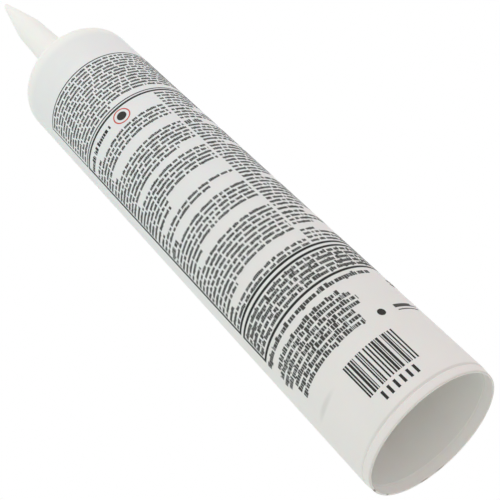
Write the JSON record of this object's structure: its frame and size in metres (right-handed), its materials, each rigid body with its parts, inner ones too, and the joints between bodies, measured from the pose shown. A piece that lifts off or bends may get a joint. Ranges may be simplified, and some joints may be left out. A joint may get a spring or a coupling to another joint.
{
  "type": "sealant cartridge",
  "caption": "Cylindrical sealant cartridge with a rounded shoulder, a closed tapered nozzle, an open rear mouth and an inner piston that slides forward to push the paste out.",
  "frame": {"origin": "centre of the mouth's plane, on the barrel's axis, where the cartridge stands", "axes": "+Z along the axis from the mouth to the nozzle's tip; -Y towards the middle of the printed side that the picture shows"},
  "size_m": [0.05, 0.05, 0.2965],
  "materials": {
    "white_polyethylene": "satin, moulded, with dark ink print",
    "natural_polyethylene": "waxy, moulded",
    "paste": "wet, smooth paste"
  },
  "bodies": {
    "cartridge": {"cartridge_body": "white_polyethylene", "sealant": "paste"},
    "piston": {"piston": "natural_polyethylene"}
  },
  "joints": [
    {"name": "piston_slide", "type": "slide", "parent": "cartridge", "child": "piston", "axis": [0, 0, 1], "range_m": [0, 0.1815], "deforming": ["sealant"]}
  ]
}
